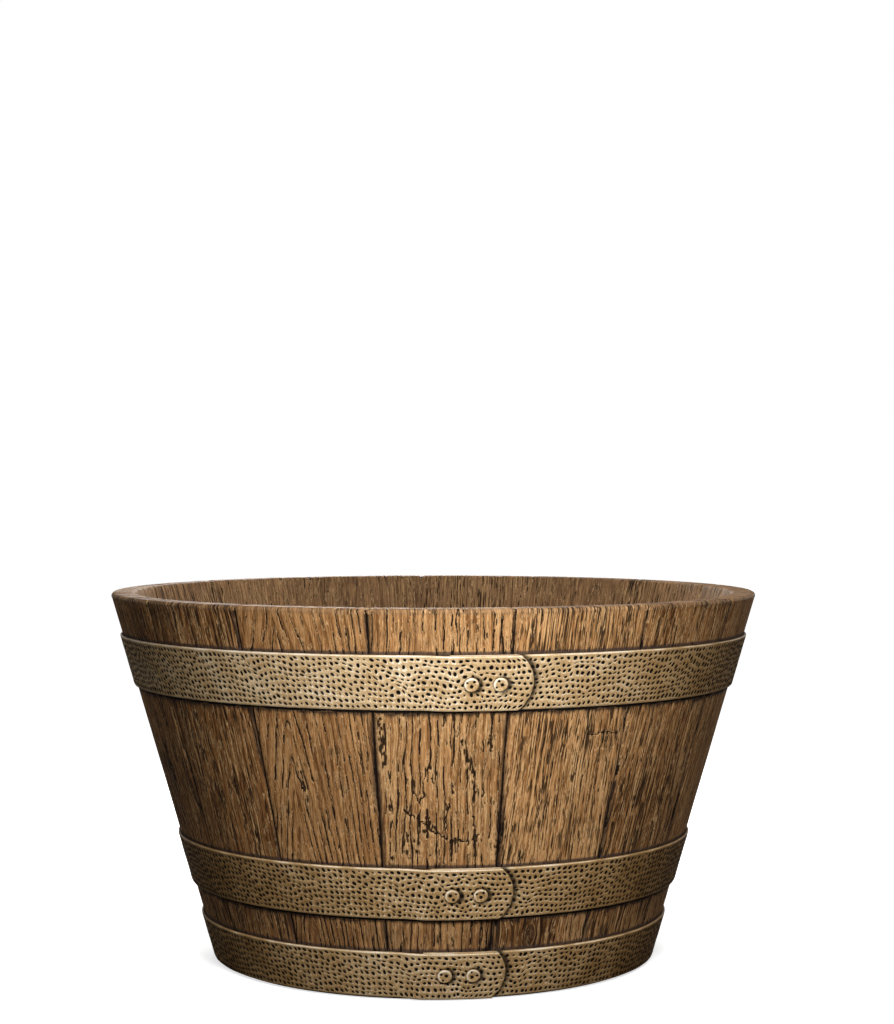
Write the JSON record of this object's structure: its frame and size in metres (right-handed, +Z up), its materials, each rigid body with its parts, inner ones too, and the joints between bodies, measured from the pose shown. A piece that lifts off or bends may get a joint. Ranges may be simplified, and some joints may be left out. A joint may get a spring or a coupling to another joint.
{
  "type": "wooden barrel planter",
  "caption": "Half-barrel planter of tapered wooden staves round a bottom head with drain holes, bound by lapped and riveted metal hoops.",
  "frame": {"origin": "middle of the foot, on the ground", "axes": "+Z up along the tub's axis; the laps of the hoops are at the front, -Y, a little to the right, +X"},
  "size_m": [0.555, 0.555, 0.315],
  "materials": {
    "stave_wood": "aged, open dark grain, matt",
    "head_wood": "weathered, matt",
    "dowel_wood": "plain hardwood",
    "hoop_metal": "antique bronze, pitted",
    "rivet_metal": "antique bronze, pitted"
  },
  "bodies": {
    "root": {"stave_01": "stave_wood", "stave_02": "stave_wood", "stave_03": "stave_wood", "stave_04": "stave_wood", "stave_05": "stave_wood", "stave_06": "stave_wood", "stave_07": "stave_wood", "stave_08": "stave_wood", "stave_09": "stave_wood", "stave_10": "stave_wood", "stave_11": "stave_wood", "stave_12": "stave_wood", "stave_13": "stave_wood", "stave_14": "stave_wood", "stave_15": "stave_wood", "head_board_1": "head_wood", "head_board_2": "head_wood", "head_board_3": "head_wood", "head_board_4": "head_wood", "head_board_5": "head_wood", "head_dowels": "dowel_wood", "top_hoop": "hoop_metal", "middle_hoop": "hoop_metal", "base_hoop": "hoop_metal", "top_hoop_rivets": "rivet_metal", "middle_hoop_rivets": "rivet_metal", "base_hoop_rivets": "rivet_metal"}
  },
  "joints": []
}
